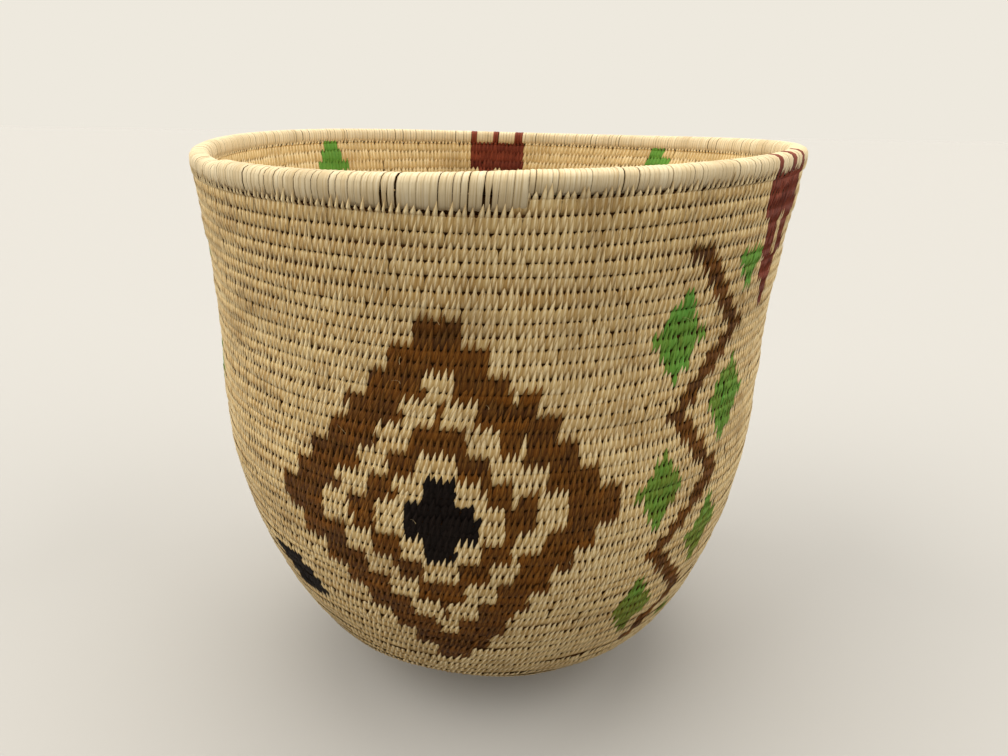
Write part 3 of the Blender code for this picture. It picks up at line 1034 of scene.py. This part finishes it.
@dataclass
class RimBinding:
    """The pale strips wound over the rim coil, and the long stitches that lash its tail."""

    form: BasketForm
    design: DyedDesign
    wrap_spacing: float = 0.00112
    wrap_width: float = 1.03
    lash_spacing: float = 0.00148
    lash_width: float = 0.985
    # How strips vary: the spread of their widths, and of their places in steps
    width_spread: float = 0.03
    width_range: Pair = (0.90, 1.08)
    place_spread: float = 0.07
    tones: tuple[float, ...] = (0.70, 0.10, 0.2, 1.0)
    # One wrap in so many has drawn away from its neighbour, by a share of its width
    parted_wraps: float = 24.0
    parted_by: float = 0.10
    rings: int = 13
    start: float = math.radians(-82.0)
    stop: float = math.radians(246.0)
    crown: float = 0.00008
    sink: float = 0.00004
    sink_spread: float = 0.00002
    crease: float = 75.0
    square: float = 0.74
    inset: float = 0.00025
    lean: float = 1.3
    # Shares of the tail where the wraps have drawn apart, and where on their way round
    gap_places: tuple[float, ...] = (0.10, 0.365)
    gap_strips: float = 1.3
    gap_turn: float = math.radians(-8.0)
    gap_reach: float = math.radians(26.0)
    gap_widths: Pair = (0.60, 0.92)
    end_width: float = 0.9
    # How much of the wall's unevenness the rim still shows
    evenness: float = 0.6
    # Share of the tail that the lashing covers
    lashed_share: float = 0.86
    clearance: float = 0.00005
    # Under the lashing the foot of the section thins: its share at mid height, and how fast
    foot_thinning: Pair = (0.3, 1.2)
    seed: int = 5

    def __post_init__(self) -> None:
        """Model the strip once and seed the unevenness."""
        self.template = StripTemplate(self.rings)
        self.random = np.random.default_rng(self.seed)

    def lay(
            self, first: float, last: float, spacing: float, mean_width: float
    ) -> tuple[Strips, Array]:
        """Lay strips over the rim between two stations.

        Args:
            first: Station of the first strip.
            last: Station of the last strip.
            spacing: Distance between the strips.
            mean_width: Share of the spacing that a strip covers.

        Returns:
            The strips and their stations.
        """
        form, template = self.form, self.template
        length = form.rim_radius * TURN / form.turn_stations
        count = round((last - first) * length / spacing)
        step = (last - first) / count
        centre = first + (np.arange(count) + 0.5) * step
        centre = centre + step * self.random.normal(0.0, self.place_spread, count)
        width = vary(self.random, count, (mean_width, self.width_spread, *self.width_range))
        drawn = self.random.random(count) < 1.0 / self.parted_wraps
        width = np.where(drawn, width - self.parted_by, width)
        share = (centre - form.rim_start) / form.tail_stations
        away = np.min([np.abs(share - place) for place in self.gap_places], axis=0)
        near = away * form.tail_stations / step < self.gap_strips
        parted = np.where(near, self.random.uniform(*self.gap_widths, count), 1.0)
        tone = vary(self.random, count, self.tones)
        ring, last_ring = template.ring, self.rings - 1
        turn = self.start + (self.stop - self.start) * ring / last_ring
        slant = (0.5 - ring / last_ring) * step * self.lean
        narrow = np.where((ring == 0) | (ring == last_ring), self.end_width, 1.0)
        open_side = np.abs(turn - self.gap_turn) < self.gap_reach
        half = step * width[:, None] * narrow / 2 * np.where(open_side, parted[:, None], 1.0)
        place = centre[:, None] + slant - template.side * half

        low, top, wide = self.section(place, np.sin(turn))
        middle, tall = (low + top) / 2, (top - low) / 2
        lift = template.crown * self.crown - self.sink
        lift = lift + self.random.normal(0.0, self.sink_spread, count)[:, None]
        distance = middle + squared(np.sin(turn), self.square) * (tall + lift)
        offset = squared(np.cos(turn), self.square) * (wide + lift) - self.inset
        spots = form.point(distance, offset + form.bump(place) * self.evenness, place)

        side = template.side * half * length / MM
        uvs = leaf_uvs(self.random, side, turn * (form.rim_thickness / 2) / MM)
        marks = stacked(tone[:, None], template.crown, turn)
        return Strips(template, spots, uvs, marks), centre

    def section(self, place: Array, rise: Array) -> tuple[Array, Array, Array]:
        """Return where the bound rim starts and ends, and half its thickness.

        Args:
            place: Stations of the rim coil's round, not of the tail on top of it.
            rise: Sines of the turns round the section, -1 at its foot.

        Returns:
            Distances of the lower and upper edge, and half thicknesses.
        """
        form = self.form
        low = form.seam(place)
        under_tail = ramp(place, form.rim_start, form.tail_stations)
        top = form.seam(place + form.turn_stations)
        tail_foot = form.seam(np.full_like(place, form.end + form.tail_stations), wavy=False)
        tail_top = form.length + (tail_foot + form.tail_tip_height - form.length) * under_tail
        top = np.where(place < form.rim_start + form.tail_stations, np.maximum(top, tail_top), top)
        full = form.rim_thickness / 2 + self.clearance
        # The lower coil swells from the wall's thickness under the lashing
        thinner = (form.rim_thickness - form.coil_thickness) / 2 * (1.0 - under_tail)
        at_middle, rate = self.foot_thinning
        return low, top, full - thinner * np.clip(at_middle - rate * rise, 0.0, 1.0)

    def build(self) -> None:
        """Make the rim's strips, the rust ones and the long stitches over the tail."""
        form = self.form
        tail_end = form.rim_start + form.tail_stations * self.lashed_share
        bound, places = self.lay(tail_end, form.end, self.wrap_spacing, self.wrap_width)
        dye = self.design.rim_dyes(form.angle(places))
        for name, colour, finish in (
                ("rim_binding_strips", Dye.NATURAL, RIM_FINISH),
                ("rust_rim_strips", Dye.RUST, STRIP_FINISHES[Dye.RUST])):
            laid = [bound.pick(dye == colour)]
            strip_piece(name, laid, finish, ["rim_coil"], self.crease)
        lashed, _ = self.lay(form.rim_start, tail_end, self.lash_spacing, self.lash_width)
        lashings = nodes_named("end_lashing")
        strip_piece("tail_lashing_strips", [lashed], RIM_FINISH, lashings, self.crease)


@dataclass
class StartKnot:
    """The knot in the middle of the base, with its first strips radiating from it."""

    form: BasketForm
    strips: int = 20
    middle: float = 0.0007
    # How far the strips reach over the first round
    lap: float = 0.0017
    # Each strip's width as a share of its place round the knot, and how its place varies
    overlap: float = 1.22
    place_spread: float = 0.025
    # Heights of the strips' faces from the middle of the coil: flat, bowed and crown
    lift: float = 0.00135
    bow: float = 0.00045
    crown: float = 0.00018
    # Shares of a half turn at which the bow starts, and that it takes
    bow_run: Pair = (0.08, 0.9)
    rings: int = 5
    tones: Pair = (0.3, 1.0)
    wad_height: float = 0.0026
    wad_raise: float = 0.0003
    wad_bevel: float = 0.0006
    wad_sides: int = 24
    seed: int = 3

    def __post_init__(self) -> None:
        """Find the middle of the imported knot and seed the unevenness."""
        lowest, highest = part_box("start_knot")
        self.centre = (lowest + highest) / 2
        self.random = np.random.default_rng(self.seed)

    def build(self) -> None:
        """Model the wad of fibre and lay the radiating strips on both faces."""
        self.build_wad()
        laid = [self.lay(side) for side in Side]
        strip_piece("start_knot_strips", laid, STRIP_FINISHES[Dye.NATURAL], ["start_knot"])

    def build_wad(self) -> None:
        """Model the wad of fibre in the middle of the base."""
        form, finish = self.form, FoundationFinish()
        bpy.ops.object.select_all(action="DESELECT")
        bpy.ops.mesh.primitive_cylinder_add(
            vertices=self.wad_sides, radius=form.knot_radius + form.pitch,
            depth=self.wad_height, location=(*self.centre.xy, form.rest + self.wad_raise))
        wad = bpy.context.object
        wad.name = "start_knot_wad"
        bpy.ops.object.mode_set(mode="EDIT")
        bpy.ops.mesh.select_all(action="SELECT")
        bpy.ops.mesh.bevel(offset=self.wad_bevel, segments=2, affect="EDGES")
        face_outwards()
        bpy.ops.object.transform_apply(location=True, rotation=True, scale=True)
        wad.data.shade_smooth()
        wad.data.materials.append(finish_material(finish))
        hand_in(wad, ["start_knot"])

    def lay(self, side: Side) -> Strips:
        """Lay the radiating strips of one face.

        Args:
            side: Outside is the face that the basket stands on.

        Returns:
            The strips, in order round the knot.
        """
        form, template = self.form, StripTemplate(self.rings)
        share = template.ring / template.ring.max()
        widest = TURN / self.strips / 2 * self.overlap
        place = np.arange(self.strips)[:, None] * TURN / self.strips
        place = place + self.random.normal(0.0, self.place_spread, (self.strips, 1))
        turned = place + template.side * widest * side
        # The first round winds away from the knot, and the strips follow it out
        station = (form.angle(0.0) - place) % TURN / TURN * form.turn_stations
        edge = form.knot_radius + form.climb * station + self.lap
        radius = self.middle + (edge - self.middle) * share
        bow = np.sin(math.pi * (share * self.bow_run[1] + self.bow_run[0]))
        lift = self.lift + self.bow * bow + self.crown * template.crown
        spots = stacked(
            self.centre.x + radius * np.cos(turned), self.centre.y + radius * np.sin(turned),
            form.rest - side * lift)
        template.clear_floor(spots)
        across = template.side * widest * radius / MM
        uvs = leaf_uvs(self.random, across, radius / MM)
        tone = self.random.uniform(*self.tones, (self.strips, 1))
        return Strips(template, spots, uvs, stacked(tone, template.crown, share))


@dataclass
class StrayFibres:
    """Loose ends of leaf fibre that stand up here and there from the outside of the wall."""

    form: BasketForm
    fibres: int = 110
    length: float = 0.0030
    thickness: float = 0.00012
    lift: float = 0.0009
    rings: int = 4
    # Height of the wall's face, the first round that has fibres, and the stations under the
    # rim that have none
    face: float = 0.0020
    first_round: int = 14
    bare_stations: int = 2
    # Shares of a round at which they start, of their length and of their tone, and the
    # spreads of their lean and curl
    starts: Pair = (0.3, 0.9)
    lengths: Pair = (0.4, 1.3)
    tones: Pair = (0.6, 1.0)
    lean_spread: float = 0.7
    curl_spread: float = 0.5
    end_thinning: float = 0.7
    seed: int = 23

    def build(self) -> None:
        """Lay the fibres and make them one piece."""
        form, template = self.form, StripTemplate(self.rings)
        random, shape = np.random.default_rng(self.seed), (self.fibres, 1)
        first, last = form.turn_stations * self.first_round, form.rim_start - self.bare_stations
        station = random.uniform(first, last, shape)
        share = random.uniform(*self.starts, shape)
        swing = random.normal(0.0, self.lean_spread, shape)
        reach = self.length * random.uniform(*self.lengths, shape)
        curl = random.normal(0.0, self.curl_spread, shape)

        run = template.ring / template.ring.max()
        radius, _ = form.along(form.seam(station, wavy=False))
        step = radius * TURN / form.turn_stations
        taper = self.thickness * (1.0 - self.end_thinning * run) / 2
        turned = swing + curl * run
        up = reach * run * np.cos(turned)
        across = reach * run * np.sin(turned) + template.side * taper
        place = station - across / step
        distance = form.seam(place) + form.pitch * share + up
        height = self.face + self.lift * run ** 2 + template.crown * taper
        spots = form.point(distance, height + form.bump(place), place)

        tone = random.uniform(*self.tones, shape)
        # Marked as the upper part of a strip, so that they take its painted highlight and none of
        # its painted shade
        marks = stacked(tone, 0.5 + 0.5 * template.crown, 0.6 + 0.4 * run)
        laid = [Strips(template, spots, stacked(across, up) / MM, marks)]
        finish, coils = STRIP_FINISHES[Dye.NATURAL], nodes_named("wall_coil")
        strip_piece("stray_fibres", laid, finish, coils)


@dataclass
class Studio:
    """Plain pale floor, soft lamps and the camera at the photograph's viewing angle."""

    lens: float = 27.69
    sensor_width: float = 36.0
    camera_place: tuple[float, float, float] = (0.0027, -0.2444, 0.1812)
    camera_pitch: float = 20.62
    camera_roll: float = -0.91
    floor_colour: str = "#B6B4B0"
    # What the floor sends back up to the basket, which stood on a dark board
    floor_bounce: str = "#6A6866"
    world_colour: str = "#FBFAF8"
    world_strength: float = 0.45
    backdrop: str = "#EEE9DE"
    floor_size: float = 6.0
    floor_roughness: float = 0.9
    floor_gloss: float = 0.1
    # A hair warmer than daylight
    lamp_colour: str = "#FFFBF3"
    # Each soft lamp: its name, its strength and the way towards it
    lamps: tuple[tuple[str, float, tuple[float, float, float]], ...] = (
        ("left", 2.45, (-0.80, -0.155, 0.60)),
        ("right", 1.75, (0.85, -0.155, 0.50)),
        ("overhead", 2.15, (0.0, 0.38, 0.92)),
    )
    lamp_spread: float = 60.0

    def build(self) -> None:
        """Make the floor, the lamps, the world and the camera."""
        self.add_floor()
        self.add_lamps()
        self.add_world()
        self.add_camera()

    def add_floor(self) -> None:
        """Lay a plain pale floor that keeps the basket's shadow."""
        bpy.ops.object.select_all(action="DESELECT")
        bpy.ops.mesh.primitive_plane_add(size=self.floor_size, location=(0.0, 0.0, 0.0))
        floor = bpy.context.object
        floor.name = "floor"
        material, tree, shader = new_material("matt_painted_board")
        colour = add_node(
            tree, "ShaderNodeMix",
            {0: self.seen_rays(tree), 6: linear(self.floor_bounce), 7: linear(self.floor_colour)},
            data_type="RGBA")
        tree.links.new(colour.outputs[2], shader.inputs["Base Color"])
        shader.inputs["Roughness"].default_value = self.floor_roughness
        shader.inputs["Specular IOR Level"].default_value = self.floor_gloss
        floor.data.materials.append(material)

    def seen_rays(self, tree: bpy.types.NodeTree) -> bpy.types.NodeSocket:
        """Add nodes that tell the camera's and gloss's rays from those that carry light.

        Args:
            tree: Node tree of the floor's material or of the world.

        Returns:
            A socket that is 1 for camera, glossy and transmission rays.
        """
        rays = add_node(tree, "ShaderNodeLightPath")
        seen = rays.outputs["Is Camera Ray"]
        for kind in ("Is Glossy Ray", "Is Transmission Ray"):
            either = add_node(
                tree, "ShaderNodeMath", {0: seen, 1: rays.outputs[kind]}, operation="MAXIMUM")
            seen = either.outputs[0]
        return seen

    def add_lamps(self) -> None:
        """Light the basket softly from both sides and from above."""
        for name, strength, towards in self.lamps:
            lamp = bpy.data.lights.new(name, "SUN")
            lamp.energy, lamp.angle = strength, math.radians(self.lamp_spread)
            lamp.color = linear(self.lamp_colour)[:3]
            item = in_scene(name, lamp)
            item.rotation_euler = Vector(towards).to_track_quat("Z", "Y").to_euler()

    def add_world(self) -> None:
        """Light the scene softly, and show a pale backdrop to the camera and to gloss."""
        world = bpy.data.worlds.new("studio")
        world.use_nodes = True
        bpy.context.scene.world = world
        tree = world.node_tree
        tree.nodes.clear()
        soft = add_node(
            tree, "ShaderNodeBackground",
            {"Color": linear(self.world_colour), "Strength": self.world_strength})
        pale = add_node(
            tree, "ShaderNodeBackground", {"Color": linear(self.backdrop), "Strength": 1.0})
        mixed = add_node(
            tree, "ShaderNodeMixShader",
            {0: self.seen_rays(tree), 1: soft.outputs[0], 2: pale.outputs[0]})
        add_node(tree, "ShaderNodeOutputWorld", {"Surface": mixed.outputs[0]})

    def add_camera(self) -> None:
        """Stand the camera where the photograph was taken from."""
        camera = bpy.data.cameras.new("camera")
        camera.lens, camera.sensor_width = self.lens, self.sensor_width
        camera.clip_start = 0.01
        item = in_scene("camera", camera)
        item.location = self.camera_place
        item.rotation_mode = "ZYX"
        tilt = math.radians(90.0 - self.camera_pitch)
        item.rotation_euler = (tilt, 0.0, -math.radians(self.camera_roll))
        bpy.context.scene.camera = item


def main() -> None:
    """Build the basket's pieces in the order in which it is sewn, then the studio."""
    logging.basicConfig(level=logging.INFO, format="%(name)s: %(message)s")
    form = BasketForm()
    form.settle()
    design = DyedDesign()
    FoundationCoil(form).build()
    StartKnot(form).build()
    StitchedWall(form, design).build()
    RimBinding(form, design).build()
    StrayFibres(form).build()
    Studio().build()
    bpy.context.scene.view_settings.view_transform = "Standard"


if __name__ == "__main__":
    main()
